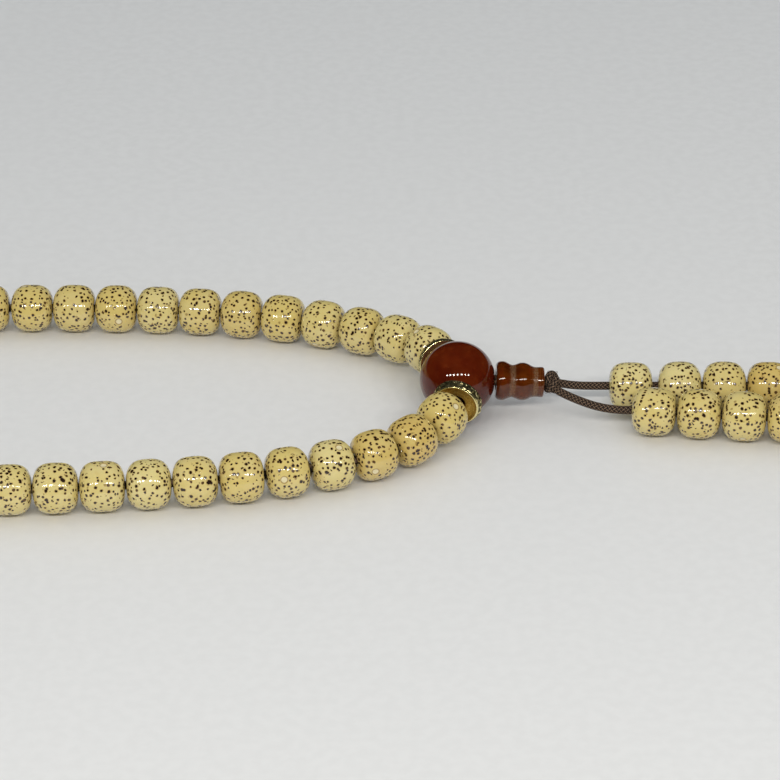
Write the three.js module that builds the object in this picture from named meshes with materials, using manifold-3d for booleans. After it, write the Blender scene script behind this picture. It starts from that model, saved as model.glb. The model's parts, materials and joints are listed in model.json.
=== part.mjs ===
// A 108-bead mala with a three-hole guru bead, two spacer rings, a stupa bead and two
// counter strings of ten beads. It lies flat on a table as a long loop. Millimetres, +Z up.
// The model is laid out about the guru bead's centre line, with the counters towards +X.
// At the end it is moved so that the origin is the middle of its footprint, on the table.
import * as THREE from 'three';
import { mergeVertices } from 'three/addons/utils/BufferGeometryUtils.js';
import Module from 'manifold-3d';

const wasm = await Module();
wasm.setup();

// ---- driving dimensions ----------------------------------------------------------------
const BEAD_DIAMETER = 9.0;
const BEAD_LENGTH = 7.6;
const BEAD_PITCH = 8.0;
const BEAD_BORE = 2.6;
const BEAD_SIDES = 8;
const CORD_DIAMETER = 1.5;
const CORD_SIDES = 8;
const GAP = 0.3; // left between pieces that touch on the real object

const GURU_DIAMETER = 13.6;
const GURU_SIDE_BORE = 3.6; // the loop's cord goes in at one side and out at the other
const GURU_STEM_BORE = 3.6; // both cord ends leave together towards the stupa bead

const SPACER_DIAMETER = 9.0;
const SPACER_BORE = 3.6;
const SPACER_WEB = 0.9; // thickness next to the bore
const SPACER_BACK = 0.75; // the rim reaches this far from the web's middle to the guru bead
const SPACER_LIP = 1.05; // and this far towards the first bead, which it cups
const SPACER_OFFSET = 7.65; // from the guru bead's centre to the middle of the web

const STUPA_START = 6.9; // from the guru bead's centre, along the stem
const STUPA_BORE = 3.4;
const STEM_DIAMETER = 2.7; // the two cord ends side by side
const STEM_SLOPE = THREE.MathUtils.degToRad(3.8); // the stem drops away from the guru bead
const KNOT_DISTANCE = 16.95; // from the guru bead's centre to the middle of the knot
const KNOT_RADIUS = 2.15;
const KNOT_HALF_LENGTH = 1.3;

const NEAR_BEADS = 11; // beads of one arm between the guru bead and the first run
const LONG_RUN = 16; // beads in the longer of an arm's two straight runs
const SHORT_RUN = 15;
const FAR_BEADS = 12; // beads of one arm in the rounded far end
const HINGE_ROOM = 0.15; // extra room next to a place where the loop flexes
const TIP_ROOM = 1.0; // room between the last beads of the two arms
const TIP_STRAIGHT = 4.5; // the far end runs straight across for this long
const JOIN = 0.5; // beads of the far end run into each other by this much

const COUNTER_BEADS = 10;
const COUNTER_SHIFT = 0.8; // the rear string's first bead stands this far from its second
const LEG_STRAIGHT = 3.5; // the cord is in line with the row for this long before it
const END_KNOT_RADIUS = 1.9;
const TAIL_LENGTH = 3.0;

// An arm leaves the guru bead's centre at angle turn from -X. It bends towards -X along a
// curve that dies away over the length decay, faster for a larger power. It comes down to
// the table over the length lift, and its first bead's centre is at start. Its spacer sits
// on the guru bead at angle seat from -X, and faces along angle face.
const ARMS = {
  front: {
    side: -1,
    turn: 96.2,
    decay: 23.05,
    power: 1.06,
    lift: 26,
    start: 12.6,
    seat: 88,
    face: 74,
    nearRun: LONG_RUN,
  },
  rear: {
    side: 1,
    turn: 84.0,
    decay: 27.6,
    power: 1.045,
    lift: 38,
    start: 13.1,
    seat: 68,
    face: 66,
    nearRun: SHORT_RUN,
  },
};

// A counter string's straight row of beads: the first bead's centre, and its direction's
// angle from +X. The leg is the cord's route from the knot to that bead.
const COUNTERS = {
  rear: {
    first: [31.2, 0.35],
    angle: -2.2,
    gapAfterFirst: COUNTER_SHIFT,
    leg: [[18.55, 0.3, 5.3], [20.4, 0.3, 4.95], [22.2, 0.5, 4.65]],
  },
  front: {
    first: [34.7, -8.95],
    angle: -8.0,
    gapAfterFirst: 0,
    leg: [[17.95, -2.1, 5.25], [19.4, -3.5, 5.05], [21.6, -5.1, 4.8], [24.4, -6.8, 4.6]],
  },
};

// ---- materials -------------------------------------------------------------------------
const SEED = new THREE.MeshStandardMaterial({ color: 0xd9c583, roughness: 0.25, metalness: 0 });
const AGATE = new THREE.MeshStandardMaterial({ color: 0x5a1408, roughness: 0.12, metalness: 0 });
const CARNELIAN = new THREE.MeshStandardMaterial({ color: 0x8a3a10, roughness: 0.2, metalness: 0 });
const GOLD = new THREE.MeshStandardMaterial({ color: 0xc9a544, roughness: 0.3, metalness: 1 });
const CORD = new THREE.MeshStandardMaterial({ color: 0x33261f, roughness: 0.85, metalness: 0 });

// ---- helpers ---------------------------------------------------------------------------
const UP = new THREE.Vector3(0, 0, 1);
const BEAD_RADIUS = BEAD_DIAMETER / 2;
const GURU = new THREE.Vector3(0, 0, GURU_DIAMETER / 2);
const mala = new THREE.Group();

function points(pairs) {
  return pairs.map(([radius, along]) => new THREE.Vector2(radius, along));
}

function toSolid(geometry) {
  const bare = geometry.clone();
  bare.deleteAttribute('normal');
  bare.deleteAttribute('uv');
  const merged = mergeVertices(bare, 1e-4);
  return new wasm.Manifold(new wasm.Mesh({
    numProp: 3,
    vertProperties: merged.attributes.position.array,
    triVerts: new Uint32Array(merged.index.array),
  }));
}

function toGeometry(solid) {
  const mesh = solid.getMesh();
  const geometry = new THREE.BufferGeometry();
  const stride = mesh.numProp;
  const count = mesh.vertProperties.length / stride;
  const positions = new Float32Array(count * 3);
  for (let i = 0; i < count; i += 1) {
    for (let k = 0; k < 3; k += 1) {
      positions[i * 3 + k] = mesh.vertProperties[i * stride + k];
    }
  }
  geometry.setAttribute('position', new THREE.BufferAttribute(positions, 3));
  geometry.setIndex(new THREE.BufferAttribute(new Uint32Array(mesh.triVerts), 1));
  return geometry;
}

// Lathe shapes have their axis on Y: this turns Y to the wanted direction and keeps a
// corner of the cross-section straight down, so that a bead touches the table.
function placement(point, direction) {
  const along = direction.clone().normalize();
  const up = UP.clone().addScaledVector(along, -UP.dot(along)).normalize();
  const across = new THREE.Vector3().crossVectors(along, up);
  return new THREE.Matrix4().makeBasis(across, along, up).setPosition(point);
}

function add(name, geometry, material, matrix) {
  const mesh = new THREE.Mesh(geometry, material);
  mesh.name = name;
  if (matrix) {
    matrix.decompose(mesh.position, mesh.quaternion, mesh.scale);
  }
  mala.add(mesh);
  return mesh;
}

function tube(route, radius, sides, steps) {
  const section = new THREE.Shape();
  for (let i = 0; i < sides; i += 1) {
    const angle = (i / sides) * Math.PI * 2;
    const x = radius * Math.cos(angle);
    const y = radius * Math.sin(angle);
    if (i === 0) section.moveTo(x, y);
    else section.lineTo(x, y);
  }
  section.closePath();
  const path = new THREE.CatmullRomCurve3(route, false, 'centripetal');
  return new THREE.ExtrudeGeometry(section, { steps, bevelEnabled: false, extrudePath: path });
}

// ---- the strands' route ----------------------------------------------------------------
// Walks a plan curve whose angle from -X is heading(s), and gives the place at each s.
function walk(heading, distances) {
  const step = 0.05; // of the numerical walk, along the curve
  const found = [];
  let x = 0;
  let y = 0;
  let s = 0;
  for (const wanted of distances) {
    while (s < wanted - 1e-9) {
      const ds = Math.min(step, wanted - s);
      const angle = heading(s + ds / 2);
      x -= Math.cos(angle) * ds;
      y += Math.sin(angle) * ds;
      s += ds;
    }
    found.push({ x, y, angle: heading(s) });
  }
  return found;
}

function armHeading(arm) {
  return (s) => THREE.MathUtils.degToRad(arm.turn) * Math.exp(-((s / arm.decay) ** arm.power));
}

// Height of the cord's middle above the table, s from the guru bead's centre.
function armHeight(arm, s) {
  const ramp = 0.5 * (1 + Math.cos(Math.PI * Math.min(s / arm.lift, 1)));
  return BEAD_RADIUS + (GURU.z - BEAD_RADIUS) * ramp;
}

function armPoint(arm, place, height) {
  return new THREE.Vector3(place.x, arm.side * place.y, height);
}

function armDirection(arm, s, angle) {
  const rise = (armHeight(arm, s + 0.5) - armHeight(arm, s - 0.5));
  return new THREE.Vector3(-Math.cos(angle), arm.side * Math.sin(angle), rise).normalize();
}

// The place where an arm's near part ends and its straight runs begin.
function nearEnd(arm) {
  const s = arm.start + (NEAR_BEADS - 0.5) * BEAD_PITCH;
  const [place] = walk(armHeading(arm), [s]);
  return { s, vector: new THREE.Vector3(place.x, arm.side * place.y, 0) };
}

const RUN_LENGTH = {
  [LONG_RUN]: LONG_RUN * BEAD_PITCH + HINGE_ROOM,
  [SHORT_RUN]: SHORT_RUN * BEAD_PITCH + HINGE_ROOM,
};

// The loop closes at the far tip because each arm's far part spans exactly what the
// other arm's near part spans.
for (const arm of Object.values(ARMS)) {
  const end = nearEnd(arm);
  const farRun = arm.nearRun === LONG_RUN ? SHORT_RUN : LONG_RUN;
  arm.nearEnd = end;
  arm.shoulder = new THREE.Vector3(end.vector.x, end.vector.y, BEAD_RADIUS);
  arm.middle = arm.shoulder.clone().add(new THREE.Vector3(-RUN_LENGTH[arm.nearRun], 0, 0));
  arm.farShoulder = arm.middle.clone().add(new THREE.Vector3(-RUN_LENGTH[farRun], 0, 0));
  arm.farRun = farRun;
}
ARMS.front.farVector = ARMS.rear.nearEnd.vector;
ARMS.rear.farVector = ARMS.front.nearEnd.vector;
const TIP = ARMS.front.farShoulder.clone().add(ARMS.front.farVector);

// ---- bead shapes -----------------------------------------------------------------------
const HALF = BEAD_LENGTH / 2;
const BORE_RADIUS = BEAD_BORE / 2;
const BEAD_PROFILE = points([
  [BORE_RADIUS, -HALF],
  [2.5, -HALF + 0.25],
  [3.95, -HALF + 1.25],
  [BEAD_RADIUS, 0],
  [3.95, HALF - 1.25],
  [2.5, HALF - 0.25],
  [BORE_RADIUS, HALF],
  [BORE_RADIUS, -HALF],
]);

function beadGeometry() {
  return new THREE.LatheGeometry(BEAD_PROFILE, BEAD_SIDES);
}

// A row of beads threaded tight, as one solid: where two beads meet they share a waist.
function rowProfile(count, pitch) {
  const profile = [[0, 0], [2.5, 0]];
  for (let i = 0; i < count; i += 1) {
    profile.push([4.15, i * pitch + 1.3]);
    profile.push([BEAD_RADIUS, (i + 0.5) * pitch]);
    profile.push([4.15, (i + 1) * pitch - 1.3]);
    profile.push([2.7, (i + 1) * pitch]);
  }
  profile[profile.length - 1] = [2.5, count * pitch];
  profile.push([0, count * pitch]);
  return points(profile);
}

// ---- guru bead and what is on its stem ---------------------------------------------------
const STEM = new THREE.Vector3(Math.cos(STEM_SLOPE), 0, -Math.sin(STEM_SLOPE));

function stemPoint(distance) {
  return GURU.clone().addScaledVector(STEM, distance);
}

function rod(radius, from, to, sides) {
  const axis = to.clone().sub(from);
  const geometry = new THREE.CylinderGeometry(radius, radius, axis.length(), sides);
  const middle = from.clone().add(to).multiplyScalar(0.5);
  geometry.applyMatrix4(placement(middle, axis));
  return geometry;
}

function spacerSeat(arm) {
  const seat = THREE.MathUtils.degToRad(arm.seat);
  const place = { x: -Math.cos(seat) * SPACER_OFFSET, y: Math.sin(seat) * SPACER_OFFSET };
  const centre = armPoint(arm, place, armHeight(arm, SPACER_OFFSET));
  return {
    centre,
    axis: armDirection(arm, SPACER_OFFSET, THREE.MathUtils.degToRad(arm.face)),
    fromGuru: centre.clone().sub(GURU).normalize(),
  };
}

function guruBead() {
  const ball = new THREE.SphereGeometry(GURU_DIAMETER / 2, 16, 12);
  ball.rotateX(Math.PI / 2);
  ball.translate(GURU.x, GURU.y, GURU.z);
  let solid = toSolid(ball);
  for (const arm of Object.values(ARMS)) {
    const way = spacerSeat(arm).fromGuru;
    const inner = GURU.clone().addScaledVector(way, -GURU_SIDE_BORE / 2);
    const outer = GURU.clone().addScaledVector(way, GURU_DIAMETER);
    solid = solid.subtract(toSolid(rod(GURU_SIDE_BORE / 2, inner, outer, 10)));
  }
  const stemOut = stemPoint(GURU_DIAMETER);
  solid = solid.subtract(toSolid(rod(GURU_STEM_BORE / 2, GURU, stemOut, 10)));
  return toGeometry(solid);
}

// The loop's cord where it crosses the inside of the guru bead.
function guruCord() {
  const reach = GURU_DIAMETER / 4;
  const front = spacerSeat(ARMS.front).fromGuru;
  const rear = spacerSeat(ARMS.rear).fromGuru;
  const route = [
    GURU.clone().addScaledVector(front, reach),
    GURU.clone().addScaledVector(front, reach / 2),
    GURU.clone().addScaledVector(rear, reach / 2),
    GURU.clone().addScaledVector(rear, reach),
  ];
  return tube(route, CORD_DIAMETER / 2, CORD_SIDES, 6);
}

// A ring whose rounded rim stands proud of its web: the first bead's end sits in the dish.
function spacerGeometry() {
  const rim = SPACER_DIAMETER / 2;
  const web = SPACER_WEB / 2;
  const inner = SPACER_BORE / 2;
  return new THREE.LatheGeometry(points([
    [inner, -web],
    [rim - 0.6, -SPACER_BACK],
    [rim, -SPACER_BACK + 0.5],
    [rim, SPACER_LIP - 0.4],
    [rim - 0.45, SPACER_LIP],
    [2.7, web + 0.05],
    [inner, web],
    [inner, -web],
  ]), 12);
}

// Groups of radius and distance from the end next to the guru bead.
function stupaGeometry() {
  const bore = STUPA_BORE / 2;
  return new THREE.LatheGeometry(points([
    [bore, 0],
    [3.1, 0],
    [3.45, 0.5],
    [3.5, 1.5],
    [2.88, 2.9],
    [3.35, 4.2],
    [3.4, 5.0],
    [3.1, 6.1],
    [2.68, 7.1],
    [2.72, 8.6],
    [bore, 8.6],
    [bore, 0],
  ]), 12);
}

// The cord ends run back from the knot through the stupa bead to the guru bead's inside.
function stemKnot() {
  const ball = new THREE.SphereGeometry(1, 12, 8);
  ball.scale(KNOT_RADIUS, KNOT_HALF_LENGTH, KNOT_RADIUS);
  ball.applyMatrix4(placement(stemPoint(KNOT_DISTANCE), STEM));
  const stem = rod(STEM_DIAMETER / 2, stemPoint(2.6), stemPoint(KNOT_DISTANCE), 8);
  return toGeometry(toSolid(ball).add(toSolid(stem)));
}

add('guru_cord', guruCord(), CORD);
add('guru_bead', guruBead(), AGATE);
for (const [name, arm] of Object.entries(ARMS)) {
  const seat = spacerSeat(arm);
  add(`spacer_${name}`, spacerGeometry(), GOLD, placement(seat.centre, seat.axis));
}
add('stupa_bead', stupaGeometry(), CARNELIAN, placement(stemPoint(STUPA_START), STEM));
add('stem_knot', stemKnot(), CORD);

// ---- the near part of the loop: separate beads on their cord ---------------------------
function numbered(name, index) {
  return `${name}_${String(index + 1).padStart(2, '0')}`;
}

for (const [name, arm] of Object.entries(ARMS)) {
  const centres = Array.from({ length: NEAR_BEADS }, (_, i) => arm.start + i * BEAD_PITCH);
  const places = walk(armHeading(arm), centres);
  places.forEach((place, i) => {
    const at = armPoint(arm, place, armHeight(arm, centres[i]));
    const direction = armDirection(arm, centres[i], place.angle);
    add(numbered(`bead_${name}`, i), beadGeometry(), SEED, placement(at, direction));
  });

  const cordStart = GURU_DIAMETER / 2 + 0.1;
  const cordEnd = arm.nearEnd.s - GAP / 2;
  const knots = Array.from({ length: 30 }, (_, i) => cordStart + ((cordEnd - cordStart) * i) / 29);
  const route = walk(armHeading(arm), knots).map((place, i) => (
    armPoint(arm, place, armHeight(arm, knots[i]))
  ));
  add(`loop_cord_${name}`, tube(route, CORD_DIAMETER / 2, CORD_SIDES, 30), CORD);
}

// ---- the straight runs and the rounded far end: rows of beads joined on their cord ------
function straightRow(name, count, from) {
  const start = from.clone().add(new THREE.Vector3(-(GAP + HINGE_ROOM) / 2, 0, 0));
  const pitch = (count * BEAD_PITCH - GAP) / count;
  const geometry = new THREE.LatheGeometry(rowProfile(count, pitch), BEAD_SIDES);
  add(name, geometry, SEED, placement(start, new THREE.Vector3(-1, 0, 0)));
}

function farRow(name, arm) {
  const reach = Math.abs(arm.farVector.y);
  const decay = (reach - TIP_STRAIGHT) / 1.3708; // an exponential turn from 90 degrees
  const heading = (s) => (Math.PI / 2) * Math.exp(-Math.max(s - TIP_STRAIGHT, 0) / decay);
  const excess = TIP_STRAIGHT + 0.5568 * decay;
  const length = Math.abs(arm.farVector.x) + excess;
  const span = length - TIP_ROOM / 2 - (GAP + HINGE_ROOM) / 2;
  const pitch = (span - JOIN) / FAR_BEADS;
  const firstEnd = (TIP_ROOM + JOIN) / 2;
  const centres = Array.from({ length: FAR_BEADS }, (_, i) => firstEnd + (i + 0.5) * pitch);
  let solid = null;
  walk(heading, centres).forEach((place) => {
    const at = new THREE.Vector3(
      TIP.x - place.x,
      TIP.y + arm.side * place.y,
      BEAD_RADIUS,
    );
    const along = new THREE.Vector3(Math.cos(place.angle), arm.side * Math.sin(place.angle), 0);
    const bead = new THREE.LatheGeometry(rowProfile(1, pitch + JOIN), BEAD_SIDES);
    bead.translate(0, -(pitch + JOIN) / 2, 0);
    bead.applyMatrix4(placement(at, along));
    const piece = toSolid(bead);
    solid = solid ? solid.add(piece) : piece;
  });
  add(name, toGeometry(solid), SEED);
}

for (const [name, arm] of Object.entries(ARMS)) {
  straightRow(`run_near_${name}`, arm.nearRun, arm.shoulder);
  straightRow(`run_far_${name}`, arm.farRun, arm.middle);
  farRow(`run_end_${name}`, arm);
}

// ---- counter strings ---------------------------------------------------------------------
for (const [name, counter] of Object.entries(COUNTERS)) {
  const angle = THREE.MathUtils.degToRad(counter.angle);
  const along = new THREE.Vector3(Math.cos(angle), Math.sin(angle), 0);
  const first = new THREE.Vector3(...counter.first, BEAD_RADIUS);
  const rowPoint = (distance) => first.clone().addScaledVector(along, distance);
  for (let i = 0; i < COUNTER_BEADS; i += 1) {
    const distance = i * BEAD_PITCH + (i > 0 ? counter.gapAfterFirst : 0);
    const matrix = placement(rowPoint(distance), along);
    add(numbered(`counter_${name}`, i), beadGeometry(), SEED, matrix);
  }
  const lastFace = (COUNTER_BEADS - 1) * BEAD_PITCH + counter.gapAfterFirst + HALF;
  const knotStart = lastFace + GAP;
  const cordEnd = knotStart - 0.05;
  const rowStops = [-HALF - LEG_STRAIGHT, -HALF, 0];
  for (let i = 1; i <= 10; i += 1) rowStops.push((cordEnd * i) / 10);
  const route = [
    ...counter.leg.map((place) => new THREE.Vector3(...place)),
    ...rowStops.map(rowPoint),
  ];
  add(`counter_cord_${name}`, tube(route, CORD_DIAMETER / 2, CORD_SIDES, 34), CORD);

  const endKnot = new THREE.LatheGeometry(points([
    [0, 0],
    [1.0, 0],
    [END_KNOT_RADIUS, 1.2],
    [END_KNOT_RADIUS, 2.2],
    [CORD_DIAMETER / 2, 3.2],
    [CORD_DIAMETER / 2, 3.2 + TAIL_LENGTH],
    [0, 3.2 + TAIL_LENGTH],
  ]), 8);
  add(`counter_knot_${name}`, endKnot, CORD, placement(rowPoint(knotStart + GAP), along));
}

// ---- origin: the middle of the footprint, on the table -----------------------------------
const footprint = new THREE.Box3();
mala.updateMatrixWorld(true);
for (const mesh of mala.children) {
  if (!/^counter_(cord|knot)/.test(mesh.name)) footprint.expandByObject(mesh, true);
}
const middle = footprint.getCenter(new THREE.Vector3());
mala.position.set(-middle.x, -middle.y, -footprint.min.z);

export default mala;
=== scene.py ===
"""The looks of a 108-bead mala: speckled seed beads, an agate guru bead, gold spacers, a
carnelian stupa bead, and braided cord. Sizes are written in millimetres, and MM turns them
into the frame's metres."""
import json
import math
import random

import bmesh
import bpy
import numpy as np
from mathutils import Matrix, Vector


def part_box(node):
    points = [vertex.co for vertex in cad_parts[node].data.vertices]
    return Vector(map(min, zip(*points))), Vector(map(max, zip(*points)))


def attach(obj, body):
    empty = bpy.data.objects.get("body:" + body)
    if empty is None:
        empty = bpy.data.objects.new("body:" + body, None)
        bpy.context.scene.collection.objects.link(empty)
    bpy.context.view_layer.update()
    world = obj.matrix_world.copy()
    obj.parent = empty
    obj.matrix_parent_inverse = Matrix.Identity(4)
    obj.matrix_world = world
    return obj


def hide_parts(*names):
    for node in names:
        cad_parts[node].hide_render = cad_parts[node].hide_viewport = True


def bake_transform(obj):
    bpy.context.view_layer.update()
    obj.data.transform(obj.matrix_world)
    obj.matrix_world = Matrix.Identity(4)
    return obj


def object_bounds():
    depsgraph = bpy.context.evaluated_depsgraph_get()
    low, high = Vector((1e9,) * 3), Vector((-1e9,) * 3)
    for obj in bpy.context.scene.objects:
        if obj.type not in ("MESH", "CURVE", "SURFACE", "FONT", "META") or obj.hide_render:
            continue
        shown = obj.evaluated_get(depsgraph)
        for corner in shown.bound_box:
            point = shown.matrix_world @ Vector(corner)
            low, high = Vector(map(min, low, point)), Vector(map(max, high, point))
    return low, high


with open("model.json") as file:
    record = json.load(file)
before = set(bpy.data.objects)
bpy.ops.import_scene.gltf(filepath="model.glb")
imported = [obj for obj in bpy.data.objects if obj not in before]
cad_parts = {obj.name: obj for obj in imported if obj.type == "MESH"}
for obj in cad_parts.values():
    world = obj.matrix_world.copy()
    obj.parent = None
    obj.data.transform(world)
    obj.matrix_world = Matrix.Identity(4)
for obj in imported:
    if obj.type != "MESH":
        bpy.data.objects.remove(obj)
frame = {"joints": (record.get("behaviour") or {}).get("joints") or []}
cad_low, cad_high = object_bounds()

MM = 0.001
JOINTS = {joint["name"]: joint for joint in frame["joints"]}
ARMS = ("front", "rear")
UP = Vector((0, 0, 1))

# ---- sizes, in millimetres -----------------------------------------------------------------
PITCH = 8.0              # from one bead's middle to the next one's
BEAD_RADIUS = 4.5
BEAD_BORE = 1.0          # radius
SOLID_LENGTH = 7.6       # the plain solid of a bead
NEAR_LENGTH = 7.72       # beads where the strand bends most
ROW_LENGTH = 7.92        # beads of a straight row, almost touching
ROW_ROOM = 0.06          # between them at least
NEAR_BEADS = 11          # beads of one arm between the guru bead and the first run
LONG_RUN = 16            # beads in the longer of an arm's two straight runs
SHORT_RUN = 15
FAR_BEADS = 12           # beads of one arm in the rounded far end
COUNTER_BEADS = 10
COUNTER_THINNER = 0.12   # taken off the radius of the bead that slides past the other string
GAP = 0.3                # between solids that touch on the real object
HINGE_ROOM = 0.15        # extra room next to a place where the loop flexes
TIP_ROOM = 1.0           # between the last beads of the two arms
TIP_STRAIGHT = 4.5       # the far end runs straight across for this long
TIP_CORD = 0.25          # each arm's cord ends this far from the tip
JOIN = 0.5               # the solids of the far end's beads run into each other by this much
CORD_RADIUS = 0.75
KNOT_DISTANCE = 16.95    # from the guru bead's centre to the middle of the stem knot
GURU_RADIUS = 6.8
GURU_BORE = 1.8          # radius of its two side bores and its stem bore
SPACER_RADIUS = 4.5
STUPA_START = 6.9        # from the guru bead's centre, along the stem
COUNTER_SHIFT = 0.8      # the rear string's first bead stands this far from its second
LEG_STRAIGHT = 3.5       # a counter cord is in line with its row for this long before it
END_KNOT_LENGTH = 3.2
TAIL_LENGTH = 3.0

GURU = Vector(JOINTS["guru_lift"]["pos_m"]) / MM
STEM = Vector(JOINTS["spin_stupa_bead"]["axis"])
KNOT = GURU + STEM * KNOT_DISTANCE


def link_object(name, data):
    """A new object in the scene with the given mesh, lamp or camera."""
    made = bpy.data.objects.new(name, data)
    bpy.context.scene.collection.objects.link(made)
    return made


# ---- the camera, at the photograph's angle ---------------------------------------------------
CAMERA_ROLL = -1.049     # degrees
CAMERA_FALL = 29.845     # degrees below the horizon
CAMERA_LENS = 154.97
CAMERA_FROM_GURU = (-12.17, -524.55)
CAMERA_HEIGHT = 305.7


def make_camera():
    """Makes the scene's camera, which looks over the guru bead from the front."""
    roll, fall = math.radians(CAMERA_ROLL), math.radians(CAMERA_FALL)
    right = Vector((math.cos(roll), math.sin(roll) * math.sin(fall),
                    math.sin(roll) * math.cos(fall)))
    top = Vector((-math.sin(roll), math.cos(roll) * math.sin(fall),
                  math.cos(roll) * math.cos(fall)))
    back = right.cross(top)
    data = bpy.data.cameras.new("camera")
    data.lens = CAMERA_LENS
    data.sensor_width = 36
    data.clip_start, data.clip_end = 0.01, 20
    camera = link_object("camera", data)
    turn = Matrix((right, top, back)).transposed().to_4x4()
    x, y = CAMERA_FROM_GURU
    place = Vector((GURU.x + x, GURU.y + y, CAMERA_HEIGHT)) * MM
    camera.matrix_world = Matrix.Translation(place) @ turn
    bpy.context.scene.camera = camera


make_camera()


# ---- mesh helpers ----------------------------------------------------------------------------
def add_values(mesh, values):
    """A float attribute on the mesh's points for each of values."""
    for key, numbers in values.items():
        layer = mesh.attributes.new(key, "FLOAT", "POINT")
        layer.data.foreach_set("value", np.asarray(numbers, np.float32))


def new_piece(name, verts, faces, material, values=None):
    """A smooth mesh from points in millimetres, with the values as its attributes."""
    mesh = bpy.data.meshes.new(name)
    mesh.from_pydata((np.asarray(verts) * MM).tolist(), [], faces)
    add_values(mesh, values or {})
    mesh.shade_smooth()
    mesh.materials.append(material)
    return link_object(name, mesh)


def finish_piece(piece, body, node):
    """Lets the piece ride on a body and in place of a CAD node."""
    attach(piece, body)
    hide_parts(node)


def grid_faces(rings, sides, closed_rings):
    """Quads between neighbouring rings of points. The last ring meets the first on request."""
    faces = []
    last = rings if closed_rings else rings - 1
    for i in range(last):
        here, there = i * sides, ((i + 1) % rings) * sides
        for k in range(sides):
            after = (k + 1) % sides
            faces.append((here + k, here + after, there + after, there + k))
    return faces


def basis(axis):
    """(along, across, up) unit vectors, with along on axis and up as near +Z as it can be."""
    along = Vector(axis).normalized()
    up = (UP - along * UP.dot(along)).normalized()
    return along, along.cross(up), up


def lathe(name, outline, centre, axis, sides, material, shape=None):
    """Turns a closed outline of (distance along the axis, radius) round the axis.
    shape(along, radius, angle) may move the points of the outline."""
    along, across, up = basis(axis)
    outline = np.asarray(outline, float)
    angles = np.arange(sides) / sides * 2 * math.pi
    a = np.repeat(outline[:, 0], sides)
    r = np.repeat(outline[:, 1], sides)
    t = np.tile(angles, len(outline))
    if shape:
        a, r = shape(a, r, t)
    verts = (np.array(centre) + np.outer(a, along)
             + np.outer(r * np.cos(t), up) + np.outer(r * np.sin(t), across))
    faces = grid_faces(len(outline), sides, True)
    return new_piece(name, verts, faces, material, {"along": a, "from_axis": r})


def round_corners(points, reach, steps):
    """A closed outline with each corner replaced by a small curve, up to reach from it."""
    points = [np.array(p, float) for p in points]
    out = []
    for i, corner in enumerate(points):
        before, after = points[i - 1], points[(i + 1) % len(points)]
        din, dout = before - corner, after - corner
        lin, lout = np.linalg.norm(din), np.linalg.norm(dout)
        start = corner + din / lin * min(reach, lin * 0.45)
        end = corner + dout / lout * min(reach, lout * 0.45)
        for k in range(steps + 1):
            t = k / steps
            out.append((1 - t) ** 2 * start + 2 * t * (1 - t) * corner + t * t * end)
    return out


def spline(points, step):
    """Points about step apart on a centripetal Catmull-Rom curve through the given ones."""
    points = [np.array(p, float) for p in points]
    ends = [2 * points[0] - points[1], *points, 2 * points[-1] - points[-2]]
    out = [points[0]]
    for i in range(1, len(ends) - 2):
        p0, p1, p2, p3 = ends[i - 1:i + 3]
        t0 = 0.0
        t1 = t0 + np.linalg.norm(p1 - p0) ** 0.5
        t2 = t1 + np.linalg.norm(p2 - p1) ** 0.5
        t3 = t2 + np.linalg.norm(p3 - p2) ** 0.5
        count = max(1, round(np.linalg.norm(p2 - p1) / step))
        for k in range(1, count + 1):
            t = t1 + (t2 - t1) * k / count
            a1 = (t1 - t) / (t1 - t0) * p0 + (t - t0) / (t1 - t0) * p1
            a2 = (t2 - t) / (t2 - t1) * p1 + (t - t1) / (t2 - t1) * p2
            a3 = (t3 - t) / (t3 - t2) * p2 + (t - t2) / (t3 - t2) * p3
            b1 = (t2 - t) / (t2 - t0) * a1 + (t - t0) / (t2 - t0) * a2
            b2 = (t3 - t) / (t3 - t1) * a2 + (t - t1) / (t3 - t1) * a3
            out.append((t2 - t) / (t2 - t1) * b1 + (t - t1) / (t2 - t1) * b2)
    return np.array(out)


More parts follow.
